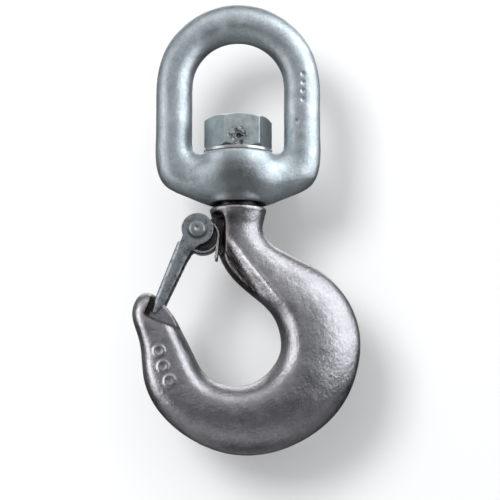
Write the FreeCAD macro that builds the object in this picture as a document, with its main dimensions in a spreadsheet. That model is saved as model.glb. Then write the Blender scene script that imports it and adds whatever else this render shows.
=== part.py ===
import FreeCAD, Part
import math
import os
import Sketcher
from FreeCAD import Placement, Rotation, Vector

# Forged swivel lifting hook with a spring safety latch, in millimetres.
# The hook hangs from its bail: +Z is up along the swivel axis, the hook lies in the XZ plane with its
# throat towards -X, and its front faces -Y. The origin is the bearing point at the top of the bail's eye.

X_AXIS = Vector(1, 0, 0)
Y_AXIS = Vector(0, 1, 0)
Z_AXIS = Vector(0, 0, 1)

DIMENSIONS = [
    # bail
    ("bail_bar_radius", 10.0),
    ("bail_crown_thickness", 21.4),
    ("bail_eye_radius", 24.8),
    ("bail_floor_z", -62.0),
    ("bail_underside_z", -90.0),
    ("bail_boss_half_depth", 20.4),
    ("bail_spot_radius", 20.0),
    # swivel: shank, nut, washer and lock pin
    ("shank_radius", 11.0),
    ("swivel_clearance", 0.1),
    ("washer_radius", 18.6),
    ("washer_thickness", 1.6),
    ("nut_across_flats", 32.2),
    ("nut_height", 18.0),
    ("nut_turn", 8.2),
    ("lockpin_radius", 2.5),
    ("lockpin_wall", 1.0),
    ("lockpin_below_top", 12.5),
    ("lockpin_turn", 1.5),
    # hook
    ("collar_radius", 15.4),
    ("collar_gap", 1.9),
    ("neck_radius", 13.2),
    ("bowl_centre_x", -0.9),
    ("bowl_centre_z", -163.7),
    ("bowl_radius", 23.8),
    ("hook_half_depth", 16.2),
    ("lug_half_depth", 3.0),
    ("lug_radius", 8.4),
    ("tongue_half_depth", 6.4),
    ("tongue_rise", 7.4),
    ("seat_gap", 0.35),
    ("seat_relief", 1.9),
    ("seat_relief_below", 3.2),
    ("flute_depth", 11.2),
    ("flute_slope", 0.35),
    ("flute_reach", 16.0),
    # latch, its pin and its spring
    ("pivot_x", -21.6),
    ("pivot_z", -104.1),
    ("latch_lean", 21.3),
    ("latch_inner_half", 7.1),
    ("latch_sheet", 1.8),
    ("latch_ear_radius", 8.5),
    ("latch_length", 50.6),
    ("latch_back", 7.4),
    ("latch_bend_radius", 2.6),
    ("latchpin_radius", 3.2),
    ("latchpin_head_radius", 4.6),
    ("latchpin_play", 0.1),
    ("locknut_flats", 10.0),
    ("locknut_height", 5.0),
    ("spring_wire_radius", 0.8),
    ("spring_coil_radius", 8.5),
]

doc = FreeCAD.newDocument("swivel_hook")
sheet = doc.addObject("Spreadsheet::Sheet", "Sizes")
for row, (alias, value) in enumerate(DIMENSIONS, start=1):
    sheet.set("A%d" % row, alias)
    sheet.set("B%d" % row, str(value))
    sheet.setAlias("B%d" % row, alias)
doc.recompute()

parts = []
FAR = 80  # past the part on every side, for cutting tools


def size(alias):
    """A driving dimension, read from the sheet."""
    return float(sheet.get(alias))


# ---------------------------------------------------------------- PartDesign helpers


def new_body(label):
    body = doc.addObject("PartDesign::Body", label)
    body.Label = label
    parts.append(body)
    return body


def origin_plane(body, role):
    return next(f for f in body.Origin.OriginFeatures if f.Role == role)


def new_sketch(body, name, role="XY_Plane", offset=None):
    """A sketch on one of the body's own planes, moved along the plane's normal by an expression."""
    sketch = body.newObject("Sketcher::SketchObject", name)
    sketch.AttachmentSupport = [(origin_plane(body, role), "")]
    sketch.MapMode = "FlatFace"
    if offset:
        sketch.setExpression("AttachmentOffset.Base.z", offset)
    return sketch


def drive(sketch, constraint, name, formula):
    """Add a dimensional constraint whose value follows the sheet."""
    index = sketch.addConstraint(constraint)
    sketch.renameConstraint(index, name)
    sketch.setExpression("Constraints." + name, formula)


def add_circle(sketch, name, formula, x=0.0, z=0.0, guess=5.0):
    """A circle with its radius bound to a formula, centred on the sketch's origin or at a fixed point."""
    index = sketch.addGeometry(Part.Circle(Vector(x, z, 0), Z_AXIS, guess), False)
    if x == 0.0 and z == 0.0:
        sketch.addConstraint(Sketcher.Constraint("Coincident", index, 3, -1, 1))
    drive(sketch, Sketcher.Constraint("Radius", index, guess), name, formula)
    return index


def add_polygon(sketch, points):
    """A closed chain of straight edges, joined end to end."""
    first = sketch.GeometryCount
    count = len(points)
    for k in range(count):
        start = Vector(points[k][0], points[k][1], 0)
        stop = Vector(points[(k + 1) % count][0], points[(k + 1) % count][1], 0)
        sketch.addGeometry(Part.LineSegment(start, stop), False)
    for k in range(count):
        sketch.addConstraint(Sketcher.Constraint("Coincident", first + k, 2, first + (k + 1) % count, 1))
    return first


def pad(body, sketch, formula, middle=False):
    feature = body.newObject("PartDesign::Pad", "Pad")
    feature.Profile = sketch
    feature.Midplane = middle
    feature.setExpression("Length", formula)
    doc.recompute()
    return feature


def pocket_through(body, sketch, name):
    """A hole right through the body, both ways from the sketch."""
    before = body.Shape.Volume
    feature = body.newObject("PartDesign::Pocket", name)
    feature.Profile = sketch
    feature.Type = "ThroughAll"
    feature.Midplane = True
    doc.recompute()
    assert body.Shape.Volume < before, name + " cuts nothing"
    return feature


def turn(body, sketch, kind, name):
    """A revolution or a groove about the body's Z axis, from a sketch on its XZ plane."""
    feature = body.newObject("PartDesign::" + kind, name)
    feature.Profile = sketch
    feature.ReferenceAxis = (sketch, ["V_Axis"])
    feature.Angle = 360
    doc.recompute()
    return feature


# ---------------------------------------------------------------- forged sections


def section_points(inner, outer, half_depth, ridge, inner_power, outer_power, count=17):
    """Points over the front half of a forging section, from inner to outer, two points in the XZ plane.

    ridge is how far from inner the section is thickest. Each side of it is a quarter of an ellipse at
    power 2. A smaller power makes a slanting shoulder and a larger one a flat face with a round corner.
    """
    width = (outer - inner).Length
    points = []
    for step in range(count):
        swing = math.cos(math.pi * step / (count - 1))
        if swing > 0:
            reach = ridge * (1 - swing)
            rise = 1 - swing ** inner_power
        else:
            reach = ridge - (width - ridge) * swing
            rise = 1 - (-swing) ** outer_power
        place = inner + (outer - inner) * (reach / width)
        points.append(Vector(place.x, -half_depth * math.sqrt(max(rise, 0)), place.z))
    return points


def even_sections(sections, count):
    """The same run of forging sections, read off smooth curves at evenly spaced places along it."""
    along = [0.0]
    for (inner, outer, *_), (next_inner, next_outer, *_) in zip(sections, sections[1:]):
        along.append(along[-1] + (next_inner - inner).Length + (next_outer - outer).Length)
    rows = []
    for (inner, outer, depth, ridge, inner_power, outer_power), place in zip(sections, along):
        rows.append((inner, outer, Vector(depth, ridge, place), Vector(inner_power, outer_power, place)))
    curves = []
    for points in zip(*rows):
        curve = Part.BSplineCurve()
        curve.interpolate(Points=list(points), Parameters=along)
        curves.append(curve)
    run = []
    for step in range(count):
        inner, outer, shape, powers = (curve.value(along[-1] * step / (count - 1)) for curve in curves)
        run.append((inner, outer, shape.x, shape.y, powers.x, powers.y))
    return run


def forged_solid(sections, count):
    """A solid through a run of forging sections. It is the same in front and at the back."""
    surface = Part.BSplineSurface()
    surface.interpolate([section_points(*section) for section in even_sections(sections, count)])
    front = surface.toShape()
    back = front.mirror(Vector(0, 0, 0), Y_AXIS)
    faces = [front, back]
    low, high, _, _ = surface.bounds()
    for end in (low, high):
        edge = surface.uIso(end).toShape()
        faces.append(Part.Face(Part.Wire([edge, edge.mirror(Vector(0, 0, 0), Y_AXIS)])))
    shell = Part.makeCompound(faces)
    shell.sewShape()
    solid = Part.Solid(Part.Shell(shell.Faces))
    if solid.Volume < 0:
        solid.reverse()
    return solid


def polar(centre_x, centre_z, radius, angle):
    """A point of the XZ plane, the angle in degrees from +X towards +Z."""
    a = math.radians(angle)
    return Vector(centre_x + radius * math.cos(a), 0, centre_z + radius * math.sin(a))


def flat_region(points, depth_low, depth_high):
    """A prism over a straight-sided outline of the XZ plane, between two values of Y."""
    wire = Part.makePolygon([Vector(x, depth_low, z) for x, z in points + points[:1]])
    return Part.Face(wire).extrude(Vector(0, depth_high - depth_low, 0))


def y_cylinder(radius, x, z, low, high):
    return Part.makeCylinder(radius, high - low, Vector(x, low, z), Y_AXIS)


def z_cylinder(radius, low, high):
    return Part.makeCylinder(radius, high - low, Vector(0, 0, low), Z_AXIS)


def forged_feature(label, shape):
    feature = doc.addObject("Part::Feature", label)
    feature.Label = label
    feature.Shape = shape
    feature.Placement = Placement()
    parts.append(feature)
    return feature


# ---------------------------------------------------------------- bail


def mirrored(section):
    inner, outer, *shape = section
    return (Vector(-inner.x, 0, inner.z), Vector(-outer.x, 0, outer.z), *shape)


def leg_section(z):
    eye = size("bail_eye_radius")
    bar = size("bail_bar_radius")
    return (Vector(eye, 0, z), Vector(eye + 2 * bar, 0, z), bar, bar, 2.0, 2.0)


def crown_sections():
    """The round bar from the middle of the crown, where it is a little thicker, down to the leg."""
    eye = size("bail_eye_radius")
    bar = size("bail_bar_radius")
    swell = size("bail_crown_thickness") - 2 * bar
    sections = []
    for angle in (90, 67.5, 45, 22.5, 0):
        thicker = swell * math.sin(math.radians(angle)) ** 2
        inner = polar(0, -eye, eye, angle)
        outer = polar(0, -eye, eye + 2 * bar + thicker, angle)
        sections.append((inner, outer, bar + thicker / 2, bar + thicker / 2, 2.0, 2.0))
    return sections


def base_sections():
    """The leg turning in under the eye and swelling into the boss that the hook's shank goes through."""
    eye = size("bail_eye_radius")
    bar = size("bail_bar_radius")
    floor = size("bail_floor_z")
    underside = size("bail_underside_z")
    boss = size("bail_boss_half_depth")
    return [
        (Vector(eye, 0, floor + 5), Vector(eye + 2 * bar, 0, floor - 2.5), bar, 10.7, 2.0, 2.0),
        (Vector(eye - 1.2, 0, floor + 1.4), Vector(eye + 16, 0, floor - 16), bar + 0.4, 12.2, 2.0, 2.0),
        (Vector(eye - 6.0, 0, floor), Vector(eye + 3.6, 0, floor - 23.2), bar + 2.4, 12.6, 2.1, 2.1),
        (Vector(11, 0, floor + 0.3), Vector(15.6, 0, underside - 0.2), boss - 3.0, 10.5, 2.9, 2.1),
        (Vector(0, 0, floor + 0.5), Vector(0, 0, underside - 2), boss + 0.3, 9.0, 3.2, 2.0),
    ]


def bail_half():
    """The right half of the ring. The run goes past the middle at each end and is cut there."""
    eye = size("bail_eye_radius")
    crown = crown_sections()
    base = base_sections()
    legs = [leg_section(-eye - 9), leg_section(-eye - 19), leg_section(-eye - 27)]
    before = [mirrored(crown[2]), mirrored(crown[1])]
    after = [mirrored(base[-2]), mirrored(base[-3])]
    right_side = Part.makeBox(80, 80, 180, Vector(0, -40, -130))
    return forged_solid(before + crown + legs + base + after, 34).common(right_side)


def bail_boss():
    """The round middle of the base, turned about the swivel axis."""
    floor = size("bail_floor_z")
    underside = size("bail_underside_z")
    boss = size("bail_boss_half_depth")
    bulge = Part.BSplineCurve()
    bulge.interpolate([
        Vector(boss - 0.2, 0, floor),
        Vector(boss + 0.3, 0, floor - 5),
        Vector(boss - 1.0, 0, floor - 13),
        Vector(boss - 4.1, 0, floor - 23),
        Vector(boss - 4.6, 0, underside),
    ])
    rest = Part.makePolygon([
        Vector(boss - 4.6, 0, underside),
        Vector(0, 0, underside),
        Vector(0, 0, floor),
        Vector(boss - 0.2, 0, floor),
    ])
    return Part.Face(Part.Wire([bulge.toShape()] + rest.Edges)).revolve(Vector(0, 0, 0), Z_AXIS, 360)


def make_bail():
    floor = size("bail_floor_z")
    underside = size("bail_underside_z")
    bore = size("shank_radius") + size("swivel_clearance")
    half = bail_half()
    shape = half.fuse(half.mirror(Vector(0, 0, 0), X_AXIS)).fuse(bail_boss())
    shape = shape.cut(z_cylinder(size("bail_spot_radius"), floor, floor + 8))
    shape = shape.cut(z_cylinder(FAR, underside - 8, underside))
    shape = shape.cut(z_cylinder(bore, underside - 10, floor + 10))
    shape = shape.cut(Part.makeCone(14.2, bore, 3.0, Vector(0, 0, underside), Z_AXIS))
    forged_feature("bail", shape)


# ---------------------------------------------------------------- hook


def hook_collar():
    """The turned collar under the bail; its lower end dies into the neck."""
    top = size("bail_underside_z") - size("collar_gap")
    rim = size("collar_radius")
    neck = size("neck_radius")
    flare = Part.BSplineCurve()
    flare.interpolate([
        Vector(rim, 0, top - 1.6),
        Vector(rim - 0.9, 0, top - 5.2),
        Vector(neck + 0.3, 0, top - 8.4),
        Vector(neck - 1.2, 0, top - 11.0),
    ])
    rest = Part.makePolygon([
        Vector(neck - 1.2, 0, top - 11.0),
        Vector(0, 0, top - 11.0),
        Vector(0, 0, top),
        Vector(rim - 0.6, 0, top),
        Vector(rim, 0, top - 0.6),
        Vector(rim, 0, top - 1.6),
    ])
    return Part.Face(Part.Wire([flare.toShape()] + rest.Edges)).revolve(Vector(0, 0, 0), Z_AXIS, 360)


def hook_sections():
    """Sections from the neck round the bowl and up to the tip."""
    neck = size("neck_radius")
    cx = size("bowl_centre_x")
    cz = size("bowl_centre_z")
    bowl = size("bowl_radius")
    deep = size("hook_half_depth")

    def slant(inner, outer, *shape):
        return (Vector(inner[0], 0, inner[1]), Vector(outer[0], 0, outer[1]), *shape)

    def around(angle, outer_reach, *shape):
        return (polar(cx, cz, bowl, angle), polar(cx, cz, outer_reach, angle), *shape)

    return [
        slant((-neck, -95.5), (neck, -95.5), neck, neck, 2.0, 2.0),
        slant((-neck, -99.5), (neck, -99.5), neck, neck, 2.0, 2.0),
        slant((-13.0, -107.5), (13.4, -104.5), 13.2, 13.3, 2.0, 2.0),
        slant((-11.4, -114.6), (17.6, -110.8), 13.4, 13.2, 2.0, 2.0),
        slant((-8.2, -122.2), (28.2, -117.2), 13.8, 13.0, 1.9, 2.0),
        slant((-1.6, -131.2), (41.4, -124.2), 14.4, 12.6, 1.8, 2.0),
        slant((9.2, -140.6), (52.6, -133.2), 15.2, 12.2, 1.7, 2.0),
        slant((18.2, -149.6), (60.2, -144.0), deep - 0.4, 11.9, 1.65, 2.0),
        around(0, 66.3, deep, 11.7, 1.6, 2.0),
        around(-28, 66.0, deep, 11.7, 1.6, 2.0),
        around(-56, 63.3, deep, 11.7, 1.6, 2.0),
        around(-84, 60.7, deep - 0.2, 11.5, 1.6, 2.1),
        around(-112, 57.4, deep - 1.0, 11.0, 1.6, 2.4),
        around(-139, 55.3, deep - 2.2, 10.0, 1.65, 3.2),
        slant((-24.2, -169.3), (-50.0, -183.8), 13.3, 9.0, 1.7, 4.5),
        slant((-30.4, -157.2), (-52.6, -163.6), 12.6, 8.0, 1.8, 5.0),
        slant((-35.2, -148.8), (-56.6, -150.2), 11.9, 7.5, 2.0, 5.0),
        slant((-40.4, -142.8), (-55.4, -143.2), 10.0, 6.5, 2.0, 3.0),
        slant((-44.0, -139.4), (-53.0, -139.4), 6.8, 4.5, 2.0, 2.0),
        slant((-46.6, -137.6), (-50.6, -137.5), 3.2, 2.0, 2.0, 2.0),
    ]


def latch_frame(x, z):
    """A point of the latch's own frame, whose origin is the pivot and whose arm points down, as XZ."""
    a = math.radians(size("latch_lean"))
    return (
        size("pivot_x") + x * math.cos(a) + z * math.sin(a),
        size("pivot_z") - x * math.sin(a) + z * math.cos(a),
    )


def swept_by_latch(radius, behind):
    """What lies within a radius of the latch's pin, from a wall that far behind the latch's back inwards."""
    wall = -size("latch_back") - behind
    corners = [latch_frame(wall, -20), latch_frame(wall, -70), latch_frame(30, -70), latch_frame(30, -20)]
    disc = y_cylinder(radius, size("pivot_x"), size("pivot_z"), -FAR, FAR)
    return disc.common(flat_region(corners, -FAR, FAR))


def tip_seat():
    """What is milled off the hook's tip: the latch's way in, and a relief on each side of the tongue."""
    tongue = size("tongue_half_depth")
    length = size("latch_length")
    way_in = swept_by_latch(length - size("tongue_rise"), size("seat_gap"))
    relief = swept_by_latch(length + size("seat_relief_below"), size("seat_relief"))
    kept_tongue = flat_region([(-FAR, -3 * FAR), (FAR, -3 * FAR), (FAR, 0), (-FAR, 0)], -tongue, tongue)
    throat_side = flat_region([(-FAR, -160), (-26, -160), (-26, -132), (-FAR, -132)], -FAR, FAR)
    return way_in.fuse(relief.cut(kept_tongue)).common(throat_side)


def neck_recess(side):
    """The hollow beside the lug on one face of the neck, where the spring's coil and the latch's ear sit."""
    lug = size("lug_half_depth")
    low, high = (lug, 30) if side > 0 else (-30, -lug)
    neck_side = [(-9.5, -95.2), (-7.0, -99), (-7.0, -115.5), (-8.6, -119.6), (-20, -122)]
    return flat_region([(-60, -95.2)] + neck_side + [(-60, -122)], low, high)


def flute(side):
    """The flute along the inside of the neck, from the latch's hollow to where the bowl begins.

    Its floor is a flat that leans a little towards the inner edge and down the neck.
    """
    start = Vector(-7.0, 0, -108.0)
    along = Vector(14.6, 0, -143.0) - start
    fall = Vector(0, -2.2, 0)
    inward = Vector(along.z, 0, -along.x).normalize()
    depth = size("flute_depth")
    reach = size("flute_reach")
    corners = [(0, depth), (reach, depth - size("flute_slope") * reach), (reach, FAR), (0, FAR)]
    points = [start - along * 0.05 + inward * across + Vector(0, y, 0) for across, y in corners]
    cutter = Part.Face(Part.makePolygon(points + points[:1])).extrude(along * 1.15 + fall)
    if side < 0:
        cutter = cutter.mirror(Vector(0, 0, 0), Y_AXIS)
    return cutter


def latch_lug():
    """The web of the neck that carries the latch's pin."""
    half = size("lug_half_depth")
    radius = size("lug_radius")
    x = size("pivot_x") + 2.1
    z = size("pivot_z") - 2.2
    web = Part.makeBox(-6 - x, 2 * half, 2 * radius, Vector(x, -half, z - radius))
    return y_cylinder(radius, x, z, -half, half).fuse(web)


def shank_top():
    return size("bail_floor_z") + size("washer_thickness") + size("nut_height") - 0.8


def lock_pin_z():
    return size("bail_floor_z") + size("washer_thickness") + size("nut_height") - size("lockpin_below_top")


def make_hook():
    shape = forged_solid(hook_sections(), 42).fuse(hook_collar())
    collar_top = size("bail_underside_z") - size("collar_gap")
    top = shank_top()
    shank = z_cylinder(size("shank_radius"), collar_top - 6, top)
    edges = [e for e in shank.Edges if abs(e.BoundBox.ZMin - top) < 1e-6 and e.Closed]
    shank = shank.makeChamfer(1.2, edges)
    for side in (-1, 1):
        shape = shape.cut(neck_recess(side))
        shape = shape.cut(flute(side))
    shape = shape.cut(tip_seat())
    shape = shape.fuse(latch_lug())
    shape = shape.fuse(shank)
    shape = shape.cut(y_cylinder(size("latchpin_radius"), size("pivot_x"), size("pivot_z"), -FAR, FAR))
    pin_hole = y_cylinder(size("lockpin_radius"), 0, lock_pin_z(), -FAR, FAR)
    pin_hole.rotate(Vector(0, 0, 0), Z_AXIS, size("lockpin_turn"))
    shape = shape.cut(pin_hole)
    forged_feature("hook", shape.removeSplitter())


# ---------------------------------------------------------------- swivel hardware


def make_thrust_washer():
    body = new_body("thrust_washer")
    sketch = new_sketch(body, "WasherRing")
    add_circle(sketch, "outer", "Sizes.washer_radius", guess=18)
    add_circle(sketch, "inner", "Sizes.shank_radius + Sizes.swivel_clearance", guess=11)
    pad(body, sketch, "Sizes.washer_thickness")
    body.setExpression("Placement.Base.z", "Sizes.bail_floor_z")


def add_hexagon(sketch, formula, guess):
    """A hexagon centred on the origin with a flat facing down, sized across its flats."""
    corner = guess / math.sqrt(3)
    turns = [math.radians(60 * k) for k in range(6)]
    points = [(corner * math.cos(a), corner * math.sin(a)) for a in turns]
    first = add_polygon(sketch, points)
    ring = sketch.addGeometry(Part.Circle(Vector(0, 0, 0), Z_AXIS, corner), True)
    sketch.addConstraint(Sketcher.Constraint("Coincident", ring, 3, -1, 1))
    for k in range(6):
        sketch.addConstraint(Sketcher.Constraint("PointOnObject", first + k, 1, ring))
    for k in range(1, 6):
        sketch.addConstraint(Sketcher.Constraint("Equal", first, first + k))
    sketch.addConstraint(Sketcher.Constraint("Horizontal", first + 1))
    drive(sketch, Sketcher.Constraint("Radius", ring, corner), "corner", formula)


def chamfer_groove(body, flats, height, lead):
    """Turn the corners of a hexagon off at 30 degrees, at both ends."""
    sketch = new_sketch(body, "CornerChamfer", "XZ_Plane")
    reach = flats / 2 + 6
    drop = (reach - lead) * math.tan(math.radians(30))
    add_polygon(sketch, [(lead, height + 1), (lead, height), (reach, height - drop), (reach, height + 1)])
    add_polygon(sketch, [(lead, -1), (lead, 0), (reach, drop), (reach, -1)])
    return turn(body, sketch, "Groove", "CornerGroove")


def make_hook_nut():
    """The swivel nut. Its cross hole was drilled on the hook, so it isn't square to the nut's flats."""
    body = new_body("hook_nut")
    flats = size("nut_across_flats")
    sketch = new_sketch(body, "Hexagon")
    sketch.setExpression("AttachmentOffset.Rotation.Angle", "Sizes.nut_turn - Sizes.lockpin_turn")
    add_hexagon(sketch, "Sizes.nut_across_flats / sqrt(3)", flats)
    pad(body, sketch, "Sizes.nut_height")
    chamfer_groove(body, flats, size("nut_height"), flats / 2 - 0.7)
    bore = new_sketch(body, "ThreadBore")
    add_circle(bore, "bore", "Sizes.shank_radius", guess=11)
    pocket_through(body, bore, "ThreadPocket")
    cross = new_sketch(body, "CrossHole", "XZ_Plane")
    hole = cross.addGeometry(Part.Circle(Vector(0, 8, 0), Z_AXIS, 2.5), False)
    cross.addConstraint(Sketcher.Constraint("PointOnObject", hole, 3, -2))
    rise = Sketcher.Constraint("DistanceY", -1, 1, hole, 3, 8)
    drive(cross, rise, "rise", "Sizes.nut_height - Sizes.lockpin_below_top")
    drive(cross, Sketcher.Constraint("Radius", hole, 2.5), "radius", "Sizes.lockpin_radius")
    pocket_through(body, cross, "CrossPocket")
    body.setExpression("Placement.Base.z", "Sizes.bail_floor_z + Sizes.washer_thickness")
    body.setExpression("Placement.Rotation.Angle", "Sizes.lockpin_turn")


def make_nut_lock_pin():
    """A slotted spring pin, driven through the nut and the shank and staked flush."""
    body = new_body("nut_lock_pin")
    ring = new_sketch(body, "PinRing", "XZ_Plane")
    add_circle(ring, "outer", "Sizes.lockpin_radius", guess=2.5)
    add_circle(ring, "inner", "Sizes.lockpin_radius - Sizes.lockpin_wall", guess=1.5)
    pad(body, ring, "Sizes.nut_across_flats - 1.2", middle=True)
    slot = new_sketch(body, "PinSlot", "XZ_Plane")
    add_polygon(slot, [(0.8, -0.35), (4, -0.35), (4, 0.35), (0.8, 0.35)])
    pocket_through(body, slot, "SlotPocket")
    body.Placement = Placement(Vector(0, 0, lock_pin_z()), Rotation(Z_AXIS, size("lockpin_turn")))


# ---------------------------------------------------------------- latch


def latch_placement():
    where = Vector(size("pivot_x"), 0, size("pivot_z"))
    return Placement(where, Rotation(Y_AXIS, size("latch_lean")))


def round_channel_back(body):
    """Take the two bend radii off the channel's back, below the ears."""
    bend = size("latch_bend_radius")
    back = size("latch_back")
    half = size("latch_inner_half") + size("latch_sheet")
    sketch = new_sketch(body, "BendCorners")
    sketch.AttachmentOffset = Placement(Vector(0, 0, -9.3), Rotation())
    for side in (-1, 1):
        corners = [
            Vector(-back, side * (half - bend), 0),
            Vector(-back - 2, side * (half - bend), 0),
            Vector(-back - 2, side * (half + 2), 0),
            Vector(-back + bend, side * (half + 2), 0),
            Vector(-back + bend, side * half, 0),
        ]
        for start, stop in zip(corners, corners[1:]):
            sketch.addGeometry(Part.LineSegment(start, stop), False)
        middle = Vector(-back + bend * (1 - math.sqrt(0.5)), side * (half - bend * (1 - math.sqrt(0.5))), 0)
        sketch.addGeometry(Part.Arc(corners[-1], middle, corners[0]), False)
    before = body.Shape.Volume
    cut = body.newObject("PartDesign::Pocket", "BendPocket")
    cut.Profile = sketch
    cut.Length = size("latch_length")
    doc.recompute()
    assert body.Shape.Volume < before, "BendPocket cuts nothing"


def latch_side_outline(sketch):
    """The latch from the side: an ear round the pin, then an arm down to a rounded, slanting end."""
    ear = size("latch_ear_radius")
    back = size("latch_back")
    length = size("latch_length")
    relief = back - 1.4
    outline = [
        Vector(-relief, -math.sqrt(ear ** 2 - relief ** 2), 0),
        Vector(-relief, -9.3, 0),
        Vector(-back, -10.3, 0),
        Vector(-back, -length + 2.0, 0),
        Vector(-back + 0.6, -length + 0.6, 0),
        Vector(-back + 2.0, -length, 0),
        Vector(-back + 3.4, -length + 0.6, 0),
        Vector(-back + 4.1, -length + 2.6, 0),
        Vector(-1.4, -length + 7.3, 0),
        Vector(0.4, -18.0, 0),
        Vector(1.2, -12.4, 0),
        Vector(4.6, -math.sqrt(ear ** 2 - 4.6 ** 2), 0),
    ]
    for start, stop in zip(outline, outline[1:]):
        sketch.addGeometry(Part.LineSegment(start, stop), False)
    crown = Part.Arc(outline[-1], Vector(0, ear, 0), outline[0])
    last = sketch.addGeometry(crown, False)
    for k in range(last - 1):
        sketch.addConstraint(Sketcher.Constraint("Coincident", k, 2, k + 1, 1))
    near_end = 1 if crown.StartPoint.isEqual(outline[-1], 1e-6) else 2
    sketch.addConstraint(Sketcher.Constraint("Coincident", last - 1, 2, last, near_end))
    sketch.addConstraint(Sketcher.Constraint("Coincident", 0, 1, last, 3 - near_end))


def make_latch():
    """A pressed channel: ears round the pin, flanges down both sides and a back that bears on the nose."""
    body = new_body("latch")
    back = size("latch_back")
    length = size("latch_length")
    web = -back + size("latch_sheet")
    side = new_sketch(body, "SideOutline", "XZ_Plane")
    latch_side_outline(side)
    pad(body, side, "2 * (Sizes.latch_inner_half + Sizes.latch_sheet)", middle=True)
    round_channel_back(body)
    hollow = new_sketch(body, "ChannelHollow", "XZ_Plane")
    inside = [
        (web, -8),
        (web, -length + 9.0),
        (-back - 1, -length + 9.0),
        (-back - 1, -length - 2),
        (20, -length - 2),
        (20, 12),
        (-12, 12),
        (-12, -8),
    ]
    add_polygon(hollow, inside)
    cut = body.newObject("PartDesign::Pocket", "ChannelPocket")
    cut.Profile = hollow
    cut.Midplane = True
    cut.setExpression("Length", "2 * Sizes.latch_inner_half")
    doc.recompute()
    hole = new_sketch(body, "PinHole", "XZ_Plane")
    add_circle(hole, "radius", "Sizes.latchpin_radius + Sizes.latchpin_play", guess=3.3)
    pocket_through(body, hole, "PinPocket")
    body.Placement = latch_placement()


def bolt_seat():
    """How far out from the middle the bolt's head and its lock nut sit, just clear of the ears."""
    return size("latch_inner_half") + size("latch_sheet") + size("latchpin_play")


def make_latch_bolt():
    """The latch's pin: a domed, dimpled head in front, a plain shank and a threaded end behind."""
    body = new_body("latch_bolt")
    radius = size("latchpin_radius")
    head = size("latchpin_head_radius")
    seat = bolt_seat()
    end = seat + size("locknut_height") + 1.2
    profile = new_sketch(body, "BoltProfile", "XZ_Plane")
    points = [
        (0, seat + 1.7),
        (1.7, seat + 2.3),
        (3.4, seat + 2.2),
        (head - 0.2, seat + 1.3),
        (head, seat + 0.5),
        (head, seat),
        (radius, seat),
        (radius, -end + 0.7),
        (radius - 0.7, -end),
        (0, -end),
    ]
    add_polygon(profile, points)
    turn(body, profile, "Revolution", "BoltRevolution")
    upright = Rotation(X_AXIS, 90)
    body.Placement = Placement(Vector(size("pivot_x"), 0, size("pivot_z")), upright)


def make_latch_locknut():
    """A thin prevailing-torque nut on the back end of the latch's pin."""
    body = new_body("latch_locknut")
    flats = size("locknut_flats")
    sketch = new_sketch(body, "Hexagon")
    add_hexagon(sketch, "Sizes.locknut_flats / sqrt(3)", flats)
    pad(body, sketch, "Sizes.locknut_height")
    chamfer_groove(body, flats, size("locknut_height"), flats / 2 - 0.3)
    bore = new_sketch(body, "ThreadBore")
    add_circle(bore, "bore", "Sizes.latchpin_radius", guess=3.2)
    pocket_through(body, bore, "ThreadPocket")
    where = Vector(size("pivot_x"), bolt_seat(), size("pivot_z"))
    body.Placement = Placement(where, Rotation(X_AXIS, -90))


def wire_run(start, stop, radius):
    """A straight run of spring wire with a ball at its far end, which makes the bend to the next run."""
    along = stop - start
    run = Part.makeCylinder(radius, along.Length, start, along)
    return run.fuse(Part.makeSphere(radius * 1.02, stop))


def spring_coil(centre, leave, inner_y):
    """One coil of the spring and its two ends. leave is the angle where its wire leaves for the latch."""
    wire = size("spring_wire_radius")
    pitch = 2 * wire + 0.02
    helix = Part.makeHelix(pitch, pitch * (leave + 360) / 360, size("spring_coil_radius"))
    helix.rotate(Vector(0, 0, 0), X_AXIS, -90)
    helix.rotate(Vector(0, 0, 0), Y_AXIS, -leave)
    helix.translate(centre + Vector(0, inner_y, 0))
    path = helix.Edges[0]
    start = path.valueAt(path.FirstParameter)
    section = Part.Wire([Part.makeCircle(wire, start, path.tangentAt(path.FirstParameter))])
    return helix.makePipeShell([section], True, True), start, path.valueAt(path.LastParameter)


def make_latch_spring():
    """A double torsion spring: a coil each side of the lug, a bridge on the latch, two ends on the neck.

    The coils hang off the pin towards the neck, which is where their two ends push them.
    """
    wire = size("spring_wire_radius")
    lean = math.radians(size("latch_lean"))
    centre = Vector(size("pivot_x") + 2.7, 0, size("pivot_z") - 3.6)
    inner_y = size("lug_half_depth") + wire + 0.08
    half, start, finish = spring_coil(centre, 180 - size("latch_lean"), inner_y)
    bridge_corner = start - Vector(math.sin(lean), 0, math.cos(lean)) * 22
    half = half.fuse(Part.makeSphere(wire * 1.02, start))
    half = half.fuse(wire_run(start, bridge_corner, wire))
    half = half.fuse(wire_run(bridge_corner, Vector(bridge_corner.x, 0, bridge_corner.z), wire))
    half = half.fuse(Part.makeSphere(wire * 1.02, finish))
    half = half.fuse(wire_run(finish, finish + Vector(-1.3, 0, -11.6), wire))
    forged_feature("latch_spring", half.fuse(half.mirror(Vector(0, 0, 0), Y_AXIS)))


make_bail()
make_hook()
make_thrust_washer()
make_hook_nut()
make_nut_lock_pin()
make_latch()
make_latch_bolt()
make_latch_locknut()
make_latch_spring()
doc.recompute()

for obj in doc.Objects:
    bad = [s for s in obj.State if s in ("Invalid", "Error")]
    assert not bad, (obj.Label, obj.State)
for obj in parts:
    assert not obj.Shape.isNull(), obj.Label
    assert obj.Shape.isValid(), obj.Label

os.makedirs("parts", exist_ok=True)
for obj in parts:
    obj.Shape.exportStep("parts/%s.step" % obj.Label)
    print(obj.Label, "%.0f mm3" % obj.Shape.Volume, "solids", len(obj.Shape.Solids))
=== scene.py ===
import math

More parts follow.
